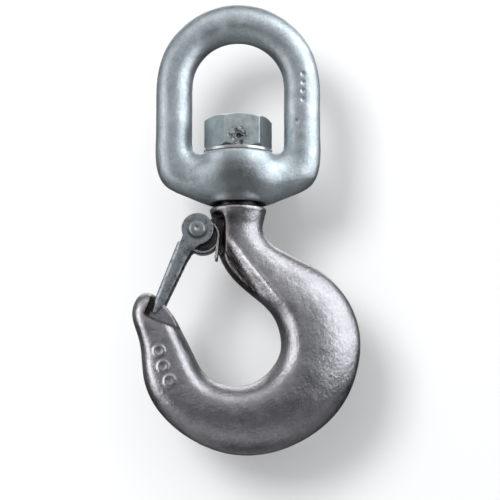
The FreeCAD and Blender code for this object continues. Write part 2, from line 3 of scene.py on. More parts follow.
import bpy
import numpy as np
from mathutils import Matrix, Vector


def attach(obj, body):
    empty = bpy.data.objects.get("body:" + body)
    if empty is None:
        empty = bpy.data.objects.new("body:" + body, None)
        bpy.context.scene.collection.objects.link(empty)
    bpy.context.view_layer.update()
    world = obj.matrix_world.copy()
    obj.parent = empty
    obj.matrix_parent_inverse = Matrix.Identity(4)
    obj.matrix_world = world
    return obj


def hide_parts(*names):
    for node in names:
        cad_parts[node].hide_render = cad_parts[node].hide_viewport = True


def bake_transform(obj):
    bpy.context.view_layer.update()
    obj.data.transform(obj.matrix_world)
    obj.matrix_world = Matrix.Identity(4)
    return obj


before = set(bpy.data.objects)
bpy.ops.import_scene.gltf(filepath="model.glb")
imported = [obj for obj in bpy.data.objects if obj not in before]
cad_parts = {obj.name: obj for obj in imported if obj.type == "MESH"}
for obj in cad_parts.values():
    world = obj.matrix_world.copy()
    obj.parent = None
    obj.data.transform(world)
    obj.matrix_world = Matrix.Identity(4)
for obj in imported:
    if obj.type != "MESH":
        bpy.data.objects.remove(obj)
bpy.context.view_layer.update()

MM = 0.001

# ---------------------------------------------------------------- sizes, in millimetres

EYE_RADIUS = 24.8
BAR_RADIUS = 10.0
CROWN_THICKNESS = 21.4
FLOOR_Z = -62.0
UNDERSIDE_Z = -90.0
BOSS_HALF_DEPTH = 20.4
COUNTERBORE_RADIUS = 14.3
SPOT_RADIUS = 20.0

SHANK_RADIUS = 11.0
SHANK_TOP = -43.2
SWIVEL_GAP = 0.1
NUT_HALF_FLATS = 16.0
NUT_TURN = math.radians(8.2)
LOCK_PIN_Z = -54.9
LOCK_PIN_OFFSET = -1.9

COLLAR_TOP = -91.9
COLLAR_RADIUS = 15.4
NECK_RADIUS = 13.2
BOWL_X, BOWL_Z, BOWL_RADIUS = -0.9, -163.7, 23.8
HOOK_HALF_DEPTH = 16.2
LUG_HALF_DEPTH = 3.0
LUG_RADIUS = 8.4
RECESS_X = -7.0
FLUTE_START, FLUTE_END = Vector((-7.0, 0, -108.0)), Vector((14.6, 0, -143.0))
FLUTE_DEPTH, FLUTE_SLOPE, FLUTE_REACH, FLUTE_FALL = 11.2, 0.35, 16.0, 2.2

PIVOT_X, PIVOT_Z = -21.6, -104.1
LATCH_LEAN = math.radians(21.3)
LATCH_BACK = 7.4
LATCH_LENGTH = 50.6
LATCH_INNER_HALF = 7.1
LATCH_SHEET = 1.8
TONGUE_HALF_DEPTH = 6.4
SEAT_GAP = 0.35
SEAT_RELIEF = 1.9
SEAT_RELIEF_RADIUS = LATCH_LENGTH + 3.2
WAY_IN_RADIUS = LATCH_LENGTH - 7.4

CLEAR = 30.0  # far enough along Y to be past both sides of the hook


# ---------------------------------------------------------------- mesh helpers


def add_object(name, vertices, faces):
    """A mesh object from points in millimetres."""
    mesh = bpy.data.meshes.new(name)
    mesh.from_pydata([tuple(c * MM for c in v) for v in vertices], [], faces)
    mesh.validate()
    obj = bpy.data.objects.new(name, mesh)
    bpy.context.scene.collection.objects.link(obj)
    return obj


def settle(obj):
    """Makes the modifiers' result the object's own mesh."""
    bpy.context.view_layer.update()
    graph = bpy.context.evaluated_depsgraph_get()
    mesh = bpy.data.meshes.new_from_object(obj.evaluated_get(graph))
    obj.modifiers.clear()
    obj.data = mesh


def join(target, *others):
    """Puts the others' faces into target and removes the others."""
    for other in others:
        count = len(target.data.vertices)
        old = [tuple(v.co) for v in target.data.vertices]
        new = [tuple(v.co) for v in other.data.vertices]
        faces = [tuple(p.vertices) for p in target.data.polygons]
        faces += [tuple(i + count for i in p.vertices) for p in other.data.polygons]
        mesh = bpy.data.meshes.new(target.name)
        mesh.from_pydata(old + new, [], faces)
        target.data = mesh
        bpy.data.objects.remove(other)


def cut(obj, *cutters):
    """Takes the cutters away from obj and removes them."""
    for cutter in cutters:
        boolean = obj.modifiers.new("cut", "BOOLEAN")
        boolean.operation = "DIFFERENCE"
        boolean.solver = "MANIFOLD"
        boolean.object = cutter
    settle(obj)
    for cutter in cutters:
        bpy.data.objects.remove(cutter)


def remesh(obj, voxel, smoothing):
    """Rebuilds the mesh as a skin of quads voxel millimetres wide, then evens it out smoothing times."""
    skin = obj.modifiers.new("skin", "REMESH")
    skin.mode = "VOXEL"
    skin.voxel_size = voxel * MM
    smooth = obj.modifiers.new("smooth", "SMOOTH")
    smooth.factor = 0.5
    smooth.iterations = smoothing
    settle(obj)
    obj.data.shade_smooth()


def roughen(obj, size, height):
    """Pushes the skin in and out by up to height, in soft lumps of that size, both in millimetres."""
    pattern = bpy.data.textures.new(obj.name + "_pattern", "CLOUDS")
    pattern.noise_scale = size * MM
    pattern.noise_depth = 2
    push = obj.modifiers.new("push", "DISPLACE")
    push.texture = pattern
    push.texture_coords = "LOCAL"
    push.strength = 2 * height * MM
    push.mid_level = 0.5
    settle(obj)
    obj.data.shade_smooth()


def prism(name, outline, low, high):
    """A solid of that XZ outline from y = low to y = high."""
    count = len(outline)
    following = outline[1:] + outline[:1]
    area = sum(a[0] * b[1] - b[0] * a[1] for a, b in zip(outline, following))
    if area < 0:
        outline = list(reversed(outline))
    vertices = [(x, low, z) for x, z in outline] + [(x, high, z) for x, z in outline]
    faces = [tuple(range(count)), tuple(reversed(range(count, 2 * count)))]
    for k in range(count):
        nxt = (k + 1) % count
        faces.append((nxt, k, k + count, nxt + count))
    return add_object(name, vertices, faces)


def polar(centre_x, centre_z, radius, degrees):
    angle = math.radians(degrees)
    return (centre_x + radius * math.cos(angle), centre_z + radius * math.sin(angle))


def arc(centre_x, centre_z, radius, first, last, steps):
    """Points along an arc in XZ, from first to last degrees."""
    return [polar(centre_x, centre_z, radius, first + (last - first) * k / steps) for k in range(steps + 1)]


def turned(name, profile, steps=96):
    """A solid of revolution about Z. profile is (radius, z) from one point on the axis to the other."""
    low, high = profile[0][1], profile[-1][1]
    ring = profile[1:-1]
    vertices = [(0, 0, low)]
    for radius, z in ring:
        for k in range(steps):
            angle = 2 * math.pi * k / steps
            vertices.append((radius * math.cos(angle), radius * math.sin(angle), z))
    vertices.append((0, 0, high))
    faces = []
    for k in range(steps):
        nxt = (k + 1) % steps
        faces.append((0, 1 + nxt, 1 + k))
        for row in range(len(ring) - 1):
            a = 1 + row * steps
            b = a + steps
            faces.append((a + k, a + nxt, b + nxt, b + k))
        top = 1 + (len(ring) - 1) * steps
        faces.append((top + k, top + nxt, len(vertices) - 1))
    return add_object(name, vertices, faces)


def ball(name, centre, radius, steps=20):
    """A ball at a centre given in millimetres."""
    profile = []
    for k in range(steps // 2 + 1):
        angle = math.pi * (2 * k / steps - 0.5)
        profile.append((radius * math.cos(angle), radius * math.sin(angle)))
    obj = turned(name, profile, steps)
    for vertex in obj.data.vertices:
        vertex.co += Vector(centre) * MM
    return obj


def ring(name, centre, normal, radius, wire, steps=32, wire_steps=12):
    """A torus lying flat on a surface with that normal. wire is the radius of its bar."""
    side = normal.orthogonal().normalized()
    across = normal.cross(side)
    vertices = []
    for k in range(steps):
        angle = 2 * math.pi * k / steps
        out = side * math.cos(angle) + across * math.sin(angle)
        for j in range(wire_steps):
            turn = 2 * math.pi * j / wire_steps
            sideways, upward = wire * math.cos(turn), wire * math.sin(turn)
            vertices.append(centre + out * (radius + sideways) + normal * upward)
    faces = []
    for k in range(steps):
        a, b = k * wire_steps, (k + 1) % steps * wire_steps
        for j in range(wire_steps):
            nxt = (j + 1) % wire_steps
            faces.append((a + j, b + j, b + nxt, a + nxt))
    return add_object(name, vertices, faces)


def front_of(obj, x, z):
    """The front surface's point, in millimetres, and its normal at x, z."""
    bpy.context.view_layer.update()
    start = Vector((x * MM, -0.1, z * MM))
    _, place, normal, _ = obj.ray_cast(start, Vector((0, 1, 0)))
    return place / MM, normal


# ---------------------------------------------------------------- forgings


def spline(rows, along, places):
    """Values read off a natural cubic spline through rows at the distances along."""
    count = len(along)
    gap = np.diff(along)
    matrix = np.eye(count)
    target = np.zeros_like(rows)
    for i in range(1, count - 1):
        matrix[i, i - 1] = gap[i - 1]
        matrix[i, i] = 2 * (gap[i - 1] + gap[i])
        matrix[i, i + 1] = gap[i]
        target[i] = 6 * ((rows[i + 1] - rows[i]) / gap[i] - (rows[i] - rows[i - 1]) / gap[i - 1])
    bend = np.linalg.solve(matrix, target)
    k = np.clip(np.searchsorted(along, places) - 1, 0, count - 2)
    h = gap[k][:, None]
    a = (along[k + 1] - places)[:, None] / h
    b = (places - along[k])[:, None] / h
    curve = ((a ** 3 - a) * bend[k] + (b ** 3 - b) * bend[k + 1]) * h ** 2 / 6
    return a * rows[k] + b * rows[k + 1] + curve


def section_ring(row, round_steps):
    """Points round one forging section. ridge is how far from the inner point it is thickest."""
    ix, iz, ox, oz, half_depth, ridge, inner_power, outer_power = row
    width = math.hypot(ox - ix, oz - iz)
    points = []
    for k in range(round_steps):
        angle = 2 * math.pi * k / round_steps
        swing = math.cos(angle)
        if swing > 0:
            reach = ridge * (1 - swing)
            rise = 1 - swing ** inner_power
        else:
            reach = ridge - (width - ridge) * swing
            rise = 1 - (-swing) ** outer_power
        depth = math.copysign(half_depth * math.sqrt(max(rise, 0)), math.sin(angle))
        part = reach / width
        points.append((ix + (ox - ix) * part, -depth, iz + (oz - iz) * part))
    return points


def forging(name, sections, length_steps, round_steps=72, closed=False):
    """A body through sections of (inner xz, outer xz, half depth, ridge, inner power, outer power)."""
    rows = np.array([[*inner, *outer, *shape] for inner, outer, *shape in sections])
    wrap = 3
    if closed:
        rows = np.vstack([rows[-wrap:], rows, rows[:wrap + 1]])
    steps = np.linalg.norm(np.diff(rows[:, 0:2], axis=0), axis=1)
    steps += np.linalg.norm(np.diff(rows[:, 2:4], axis=0), axis=1)
    along = np.concatenate([[0], np.cumsum(steps)])
    if closed:
        places = np.linspace(along[wrap], along[-wrap - 1], length_steps + 1)[:-1]
    else:
        places = np.linspace(0, along[-1], length_steps)
    rows = spline(rows, along, places)
    vertices = []
    for row in rows:
        vertices += section_ring(row, round_steps)
    faces = []
    count = len(rows)
    for row in range(count if closed else count - 1):
        a = row * round_steps
        b = (row + 1) % count * round_steps
        for k in range(round_steps):
            nxt = (k + 1) % round_steps
            faces.append((a + k, a + nxt, b + nxt, b + k))
    if not closed:
        faces.append(tuple(reversed(range(round_steps))))
        faces.append(tuple((count - 1) * round_steps + k for k in range(round_steps)))
    return add_object(name, vertices, faces)


def mirrored(section):
    """The same section on the other side of the bail."""
    (ix, iz), (ox, oz), *shape = section
    return ((-ix, iz), (-ox, oz), *shape)


def bail_sections():
    """The ring from the middle of the crown down the right leg to the middle of the base, and back up."""
    half = []
    bar = 2 * BAR_RADIUS
    swell = CROWN_THICKNESS - bar
    for degrees in (90, 67.5, 45, 22.5, 0):
        thicker = swell * math.sin(math.radians(degrees)) ** 2
        inner = polar(0, -EYE_RADIUS, EYE_RADIUS, degrees)
        outer = polar(0, -EYE_RADIUS, EYE_RADIUS + bar + thicker, degrees)
        radius = BAR_RADIUS + thicker / 2
        half.append((inner, outer, radius, radius, 2.0, 2.0))
    for below in (9, 19, 27):
        z = -EYE_RADIUS - below
        half.append(((EYE_RADIUS, z), (EYE_RADIUS + bar, z), BAR_RADIUS, BAR_RADIUS, 2.0, 2.0))
    half += [
        ((EYE_RADIUS, -57.0), (EYE_RADIUS + bar, -64.5), BAR_RADIUS, 10.7, 2.0, 2.0),
        ((23.6, -60.6), (40.8, -78.0), 10.4, 12.2, 2.0, 2.0),
        ((18.8, FLOOR_Z), (28.4, -85.2), 12.4, 12.6, 2.1, 2.1),
        ((11.0, -61.7), (15.6, -90.2), 17.4, 10.5, 2.9, 2.1),
        ((0.0, -61.5), (0.0, -92.0), 20.7, 9.0, 3.2, 2.0),
    ]
    return half + [mirrored(s) for s in reversed(half[1:-1])]


def bail_boss():
    """The thick part round the shank's bore, a little barrelled."""
    return turned("boss", [
        (0, UNDERSIDE_Z),
        (BOSS_HALF_DEPTH - 4.6, UNDERSIDE_Z),
        (BOSS_HALF_DEPTH - 4.2, -86.0),
        (BOSS_HALF_DEPTH - 2.7, -80.5),
        (BOSS_HALF_DEPTH - 1.0, -75.0),
        (BOSS_HALF_DEPTH + 0.1, -70.5),
        (BOSS_HALF_DEPTH + 0.3, -66.5),
        (BOSS_HALF_DEPTH - 0.2, FLOOR_Z),
        (0, FLOOR_Z),
    ])


def bail_cutters():
    """The spot face under the washer, the flat underside, and the bore with its tapered counterbore."""
    spot_top, far_out, far_below = FLOOR_Z + 9, 60, -100
    bore = SHANK_RADIUS + SWIVEL_GAP
    return [
        turned("spot", [(0, FLOOR_Z), (SPOT_RADIUS, FLOOR_Z), (SPOT_RADIUS, spot_top), (0, spot_top)]),
        turned("under", [(0, far_below), (far_out, far_below), (far_out, UNDERSIDE_Z), (0, UNDERSIDE_Z)]),
        turned("hollow", [
            (0, far_below + 1),
            (COUNTERBORE_RADIUS, far_below + 1),
            (COUNTERBORE_RADIUS, UNDERSIDE_Z),
            (bore, UNDERSIDE_Z + 4),
            (bore, FLOOR_Z + 1),
            (0, FLOOR_Z + 1),
        ]),
    ]


PUNCH_MARKS = [(35.0, -19.6), (35.1, -24.3), (34.9, -29.0), (35.0, -33.7), (31.8, -45.6)]
PUNCH_RADIUS, PUNCH_LIFT = 1.6, 0.8


def make_bail():
    body = forging("bail_forging", bail_sections(), 420, closed=True)
    join(body, bail_boss())
    remesh(body, 0.6, smoothing=60)
    roughen(body, 14, 0.12)
    cutters = bail_cutters()
    for x, z in PUNCH_MARKS:
        place, normal = front_of(body, x, z)
        cutters.append(ball("punch_mark", place + normal * PUNCH_LIFT, PUNCH_RADIUS))
    cut(body, *cutters)
    remesh(body, 0.42, smoothing=4)
    return body


def latch_frame(x, z):
    """A point of the latch's own frame, whose origin is the pivot and whose arm points down."""
    c, s = math.cos(LATCH_LEAN), math.sin(LATCH_LEAN)
    return (PIVOT_X + x * c + z * s, PIVOT_Z - x * s + z * c)


def into_latch_frame(x, z):
    """The reverse: how far a point lies across the latch's arm, and how far down it from the pivot."""
    c, s = math.cos(LATCH_LEAN), math.sin(LATCH_LEAN)
    return ((x - PIVOT_X) * c - (z - PIVOT_Z) * s, -(x - PIVOT_X) * s - (z - PIVOT_Z) * c)


def hook_sections():
    """The hook from under its collar down the neck and round the bowl to the tip's nose."""
    def around(degrees, outer, *shape):
        inner = polar(BOWL_X, BOWL_Z, BOWL_RADIUS, degrees)
        return (inner, polar(BOWL_X, BOWL_Z, outer, degrees), *shape)

    deep = HOOK_HALF_DEPTH
    neck = NECK_RADIUS
    return [
        ((-neck, -95.5), (neck, -95.5), neck, neck, 2.0, 2.0),
        ((-neck, -99.5), (neck, -99.5), neck, neck, 2.0, 2.0),
        ((-13.0, -107.5), (13.4, -104.5), 13.2, 13.3, 2.0, 2.0),
        ((-11.4, -114.6), (17.6, -110.8), 13.4, 13.2, 2.0, 2.0),
        ((-8.2, -122.2), (28.2, -117.2), 13.8, 13.0, 1.9, 2.0),
        ((-1.6, -131.2), (41.4, -124.2), 14.4, 12.6, 1.8, 2.0),
        ((9.2, -140.6), (52.6, -133.2), 15.2, 12.2, 1.7, 2.0),
        ((18.2, -149.6), (60.2, -144.0), deep - 0.4, 11.9, 1.65, 2.0),
        around(0, 66.3, deep, 11.7, 1.6, 2.0),
        around(-28, 66.0, deep, 11.7, 1.6, 2.0),
        around(-56, 63.3, deep, 11.7, 1.6, 2.0),
        around(-84, 60.7, deep - 0.2, 11.5, 1.6, 2.1),
        around(-112, 57.4, deep - 1.0, 11.0, 1.6, 2.4),
        around(-139, 55.3, deep - 2.2, 10.0, 1.65, 3.2),
        ((-24.2, -169.3), (-50.0, -183.8), 13.3, 9.0, 1.7, 4.5),
        ((-30.4, -157.2), (-52.6, -163.6), 12.6, 8.0, 1.8, 5.0),
        ((-35.2, -148.8), (-56.6, -150.2), 11.9, 7.5, 2.0, 5.0),
        ((-40.4, -142.8), (-55.4, -143.2), 10.0, 6.5, 2.0, 3.0),
        ((-44.0, -139.4), (-53.0, -139.4), 6.8, 4.5, 2.0, 2.0),
        ((-46.6, -137.6), (-50.6, -137.5), 3.2, 2.0, 2.0, 2.0),
    ]


def seat_cutter(name, radius, inset, low, high):
    """The end of the latch's sweep as a solid: an arc about the pivot, and a wall behind the latch."""
    left, right, top = -LATCH_BACK - inset, 10.0, -30
    steps = 24
    first = math.atan2(-math.sqrt(radius ** 2 - left ** 2), left)
    last = math.atan2(-math.sqrt(radius ** 2 - right ** 2), right)
    outline = []
    for k in range(steps + 1):
        angle = first + (last - first) * k / steps
        outline.append(latch_frame(radius * math.cos(angle), radius * math.sin(angle)))
    outline += [latch_frame(right, top), latch_frame(left, top)]
    return prism(name, outline, low, high)


def flute_directions():
    """Along the flute from end to end, and square to that towards the neck's inner edge."""
    along = FLUTE_END - FLUTE_START
    return along, Vector((along.z, 0, -along.x)).normalized()


def flute_cutter(side):
    """A flat that leans a little towards the neck's inner edge and down the neck."""
    along, inward = flute_directions()
    inner_depth = FLUTE_DEPTH - FLUTE_REACH * FLUTE_SLOPE
    outside, wall_lean = 40, -30
    corners = [
        (0, FLUTE_DEPTH),
        (FLUTE_REACH, inner_depth),
        (FLUTE_REACH, outside),
        (wall_lean, outside),
    ]
    vertices = []
    before_start, past_end = -0.05, 1.10
    for part, drop in ((before_start, 0), (past_end, FLUTE_FALL)):
        for reach, y in corners:
            depth = Vector((0, side * (y - drop), 0))
            vertices.append(FLUTE_START + along * part + inward * reach + depth)
    faces = [(0, 1, 2, 3), (7, 6, 5, 4), (0, 4, 5, 1), (1, 5, 6, 2), (2, 6, 7, 3), (3, 7, 4, 0)]
    cutter = add_object("flute", vertices, faces)
    middle = sum((v.co for v in cutter.data.vertices), Vector()) / 8
    if (cutter.data.vertices[0].co - middle).dot(cutter.data.polygons[0].normal) < 0:
        cutter.data.flip_normals()
    return cutter


def recess_cutters():
    """The hollows on both sides of the lug, where the latch's ears and springs sit."""
    outline = [
        (-60, -95.2),
        (-9.5, -95.2),
        (RECESS_X, -99),
        (RECESS_X, -115.5),
        (-8.6, -119.6),
        (-20, -122),
        (-60, -122),
    ]
    return [
        prism("recess_back", outline, LUG_HALF_DEPTH, CLEAR),
        prism("recess_front", outline, -CLEAR, -LUG_HALF_DEPTH),
    ]


def collar_flare():
    """The neck's swelling up to the collar."""
    return turned("flare", [
        (0, COLLAR_TOP - 13),
        (NECK_RADIUS - 1.0, COLLAR_TOP - 13),
        (NECK_RADIUS + 0.15, COLLAR_TOP - 9.5),
        (NECK_RADIUS + 0.7, COLLAR_TOP - 7.0),
        (COLLAR_RADIUS - 0.9, COLLAR_TOP - 4.6),
        (COLLAR_RADIUS - 0.3, COLLAR_TOP - 2.4),
        (COLLAR_RADIUS - 0.3, COLLAR_TOP - 0.8),
        (0, COLLAR_TOP - 0.8),
    ])


def collar_rim():
    """The collar's rounded lip, added after the flare is smoothed."""
    return turned("rim", [
        (0, COLLAR_TOP - 3.3),
        (COLLAR_RADIUS - 0.9, COLLAR_TOP - 3.3),
        (COLLAR_RADIUS - 0.25, COLLAR_TOP - 2.4),
        (COLLAR_RADIUS, COLLAR_TOP - 1.6),
        (COLLAR_RADIUS, COLLAR_TOP - 0.7),
        (COLLAR_RADIUS - 0.6, COLLAR_TOP),
        (0, COLLAR_TOP),
    ])


RAISED_MARKS = [(-41.2, -169.6), (-39.0, -177.6), (-35.6, -185.2)]
MARK_RADIUS, MARK_WIRE = 2.5, 0.7


def raised_marks(body):
    marks = []
    for x, z in RAISED_MARKS:
        place, normal = front_of(body, x, z)
        marks.append(ring("raised_mark", place, normal, MARK_RADIUS, MARK_WIRE))
    return marks


def seat_cutters():
    """The milled seat: a way in across the whole tip, and a relief beside the tongue that is left."""
    return [
        seat_cutter("way_in", WAY_IN_RADIUS, SEAT_GAP, -CLEAR, CLEAR),
        seat_cutter("relief_back", SEAT_RELIEF_RADIUS, SEAT_RELIEF, TONGUE_HALF_DEPTH, CLEAR),
        seat_cutter("relief_front", SEAT_RELIEF_RADIUS, SEAT_RELIEF, -CLEAR, -TONGUE_HALF_DEPTH),
    ]


def latch_lug():
    """The round lug that carries the latch, and the web from it to the neck."""
    lug_x, lug_z = PIVOT_X + 2.1, PIVOT_Z - 2.2
    web_half, web_end = 8.3, -6
    low, high = lug_z - web_half, lug_z + web_half
    web = [(lug_x, low), (web_end, low), (web_end, high), (lug_x, high)]
    return [
        prism("lug", arc(lug_x, lug_z, LUG_RADIUS, 0, 345, 46), -LUG_HALF_DEPTH, LUG_HALF_DEPTH),
        prism("web", web, -LUG_HALF_DEPTH, LUG_HALF_DEPTH),
    ]


def shank():
    chamfer = 1.2
    return turned("shank", [
        (0, COLLAR_TOP - 6),
        (SHANK_RADIUS, COLLAR_TOP - 6),
        (SHANK_RADIUS, SHANK_TOP - chamfer),
        (SHANK_RADIUS - chamfer, SHANK_TOP),
        (0, SHANK_TOP),
    ])


def make_hook():
    """Forged first, then machined: what is cut late keeps the sharper edges."""
    body = forging("hook_forging", hook_sections(), 460, round_steps=96)
    join(body, collar_flare())
    remesh(body, 0.5, smoothing=4)
    cut(body, flute_cutter(1), flute_cutter(-1), *recess_cutters())
    remesh(body, 0.5, smoothing=40)
    join(body, collar_rim(), *raised_marks(body))
    remesh(body, 0.5, smoothing=5)
    roughen(body, 16, 0.14)
    cut(body, *seat_cutters())
    join(body, *latch_lug(), shank())
    remesh(body, 0.36, smoothing=7)
    return body


# ---------------------------------------------------------------- smaller pieces


def softened(node, name, voxel, smoothing):
    """A copy of a CAD node with its sharp edges worn a little round."""
    piece = bpy.data.objects.new(name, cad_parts[node].data.copy())
    piece.data.materials.clear()
    bpy.context.scene.collection.objects.link(piece)
    remesh(piece, voxel, smoothing)
    return piece


def half_of(obj, side, name):
    """The half of a piece on one side of the middle plane, closed where it was cut."""
    low, high = (0, 40) if side > 0 else (-40, 0)
    left, right, bottom, top = -90, 60, -150, -60
    keep = prism("keep", [(left, bottom), (right, bottom), (right, top), (left, top)], low, high)
    piece = bpy.data.objects.new(name, obj.data.copy())
    bpy.context.scene.collection.objects.link(piece)
    slice_ = piece.modifiers.new("slice", "BOOLEAN")
    slice_.operation = "INTERSECT"
    slice_.solver = "MANIFOLD"
    slice_.object = keep
    settle(piece)
    bpy.data.objects.remove(keep)
    piece.data.shade_smooth()
    return piece


# Each dent's direction round the pin in degrees, how far from the pin it is, and its radius.
STAKING_DENTS = [
    (8, 3.5, 1.3),
    (72, 4.7, 0.8),
    (118, 3.2, 1.1),
    (178, 4.9, 1.2),
    (214, 3.1, 1.2),
    (288, 3.9, 1.4),
    (331, 5.3, 0.8),
]
DENT_LIFT = 0.4


def make_nut():
    """The swivel nut, with dents round the lock pin's front end where it was staked."""
    nut = softened("hook_nut", "swivel_nut", 0.2, 3)
    out = Vector((math.sin(NUT_TURN), -math.cos(NUT_TURN), 0))
    along = Vector((math.cos(NUT_TURN), math.sin(NUT_TURN), 0))
    dents = []
    for degrees, reach, size in STAKING_DENTS:
        offset, z = polar(LOCK_PIN_OFFSET, LOCK_PIN_Z, reach, degrees)
        place = out * (NUT_HALF_FLATS + DENT_LIFT) + along * offset + Vector((0, 0, z))
        dents.append(ball("dent", place, size))
    cut(nut, *dents)
    nut.data.shade_smooth()
    return nut


def make_latch():
    """The latch, with the outsides of its arm's two flanges a little round, as pressing leaves them."""
    latch = softened("latch", "safety_latch", 0.16, 8)
    middle, half_width, bulge, most = -3.6, 3.8, 0.85, 1.2
    ear_end, blend = 10, 6
    for vertex in latch.data.vertices:
        x, y, z = vertex.co / MM
        across, down = into_latch_frame(x, z)
        outside = max(abs(y) - LATCH_INNER_HALF, 0) / LATCH_SHEET
        below_ear = min(max((down - ear_end) / blend, 0), 1)
        roundness = min(((across - middle) / half_width) ** 2, most)
        vertex.co.y -= math.copysign(bulge * outside * below_ear * roundness * MM, y)
    return latch


# ---------------------------------------------------------------- materials

# Painted shade for the forgings' hollows and creases.
CORNER_SHADE = (0.05, 0.045, 0.045)
# Painted shade for where shade falls on the bail and the hook.
PAINTED_SHADE = (0.035, 0.024, 0.02)
# Painted shade for the plated pieces' creases.
PLATING_CREASE_SHADE = (0.05, 0.05, 0.05)
# Scuffs, and painted shade in the nut's pin hole and under the latch bolt's head.
SCUFF_AND_SHADE = (0.05, 0.05, 0.055)
STREAK_TURN = math.radians(-32)
RIDGE_TURN = math.radians(39.5)


class Nodes:
    """A short way to write a node tree."""

    def __init__(self, tree, coordinates):
        self.tree = tree
        self.place = self.add("ShaderNodeTexCoord").outputs[coordinates]

    def add(self, kind, **values):
        node = self.tree.nodes.new(kind)
        for key, value in values.items():
            setattr(node, key, value)
        return node

    def link(self, source, target):
        self.tree.links.new(source, target)

    def noise(self, scale, detail=4.0, roughness=0.55, stretch=None, turn=(0, 0, 0)):
        """Soft noise. scale is how many millimetres one blotch takes.

        stretch is how much finer it is along each axis, the axes first being turned by turn.
        """
        node = self.add("ShaderNodeTexNoise")
        node.inputs["Scale"].default_value = 1 / (scale * MM)
        node.inputs["Detail"].default_value = detail
        node.inputs["Roughness"].default_value = roughness
        source = self.place
        if stretch:
            mapping = self.add("ShaderNodeMapping", vector_type="TEXTURE")
            mapping.inputs["Scale"].default_value = [1 / s for s in stretch]
            mapping.inputs["Rotation"].default_value = turn
            self.link(source, mapping.inputs["Vector"])
            source = mapping.outputs["Vector"]
        self.link(source, node.inputs["Vector"])
        return node.outputs["Fac"]

    def curve(self, source, low, high, start=0.0, stop=1.0):
        """Maps source from low..high to start..stop, smoothly and clamped."""
        node = self.add("ShaderNodeMapRange", interpolation_type="SMOOTHSTEP")
        self.link(source, node.inputs["Value"])
        for key, value in (("From Min", low), ("From Max", high), ("To Min", start), ("To Max", stop)):
            node.inputs[key].default_value = value
        return node.outputs["Result"]

    def mix(self, factor, first, second):
        """A colour between first and second. Each is a socket or a tuple of red, green and blue."""
        node = self.add("ShaderNodeMix", data_type="RGBA")
        self.link(factor, node.inputs[0])
        for socket, value in ((node.inputs[6], first), (node.inputs[7], second)):
            if isinstance(value, tuple):
                socket.default_value = (*value, 1.0)
            else:
                self.link(value, socket)
        return node.outputs[2]

    def math(self, operation, first, second=0):
        """One sum on sockets or numbers."""
        node = self.add("ShaderNodeMath", operation=operation)
        for socket, value in zip(node.inputs, (first, second)):
            if isinstance(value, (int, float)):
                socket.default_value = value
            else:
                self.link(value, socket)
        return node.outputs[0]

    def bump(self, height, depth, below=None):
        """depth is in millimetres. below is the bump that this one lies on."""
        node = self.add("ShaderNodeBump")
        node.inputs["Strength"].default_value = 1.0
        node.inputs["Distance"].default_value = depth * MM
        self.link(height, node.inputs["Height"])
        if below is not None:
            self.link(below, node.inputs["Normal"])
        return node.outputs["Normal"]

    def axes(self):
        split = self.add("ShaderNodeSeparateXYZ")
        self.link(self.place, split.inputs[0])
        return tuple(split.outputs)

    def sticking_out(self):
        """How far a place sticks out: edges and ridges are above a half."""
        return self.add("ShaderNodeNewGeometry").outputs["Pointiness"]

    # Masks. Each is a socket from 0 to 1 that says how much of a place something covers. The values
    # compared are distances, and the limits given for them are in millimetres.

    def both(self, first, *others):
        """Where all of the masks are."""
        for other in others:
            first = self.math("MULTIPLY", first, other)
        return first

    def either(self, first, *others):
        """Where any of the masks is."""
        for other in others:
            first = self.math("MAXIMUM", first, other)
        return first

    def above(self, value, low, high, amount=1.0):
        """Nothing up to low, rising to amount at high."""
        return self.curve(value, low * MM, high * MM, 0, amount)

    def below(self, value, low, high, amount=1.0):
        """amount up to low, falling to nothing at high."""
        return self.curve(value, low * MM, high * MM, amount, 0)

    def between(self, value, low, high, soft, amount=1.0):
        """amount from low to high, fading over soft on both sides."""
        return self.both(self.above(value, low - soft, low, amount), self.below(value, high, high + soft))

    # Distances, for the masks.

    def offset(self, value, origin):
        """How far value is past origin, which is in millimetres."""
        return self.math("ADD", value, -origin * MM)

    def along(self, first, second, first_share, second_share):
        """How far out in a slanted direction, which is those shares of two axes."""
        first_part = self.math("MULTIPLY", first, first_share)
        second_part = self.math("MULTIPLY", second, second_share)
        return self.math("ADD", first_part, second_part)

    def distance(self, first, second):
        """How far from where both values are nothing."""
        first_squared = self.math("MULTIPLY", first, first)
        second_squared = self.math("MULTIPLY", second, second)
        return self.math("SQRT", self.math("ADD", first_squared, second_squared))


def shade(colour, share):
    return tuple(share * c for c in colour)


def new_metal(name):
    """A bare metal material, and its tree."""
    material = bpy.data.materials.new(name)
    material.use_nodes = True
    n = Nodes(material.node_tree, "Object")
    n.shader = n.tree.nodes["Principled BSDF"]
    n.shader.inputs["Metallic"].default_value = 1.0
    return material, n


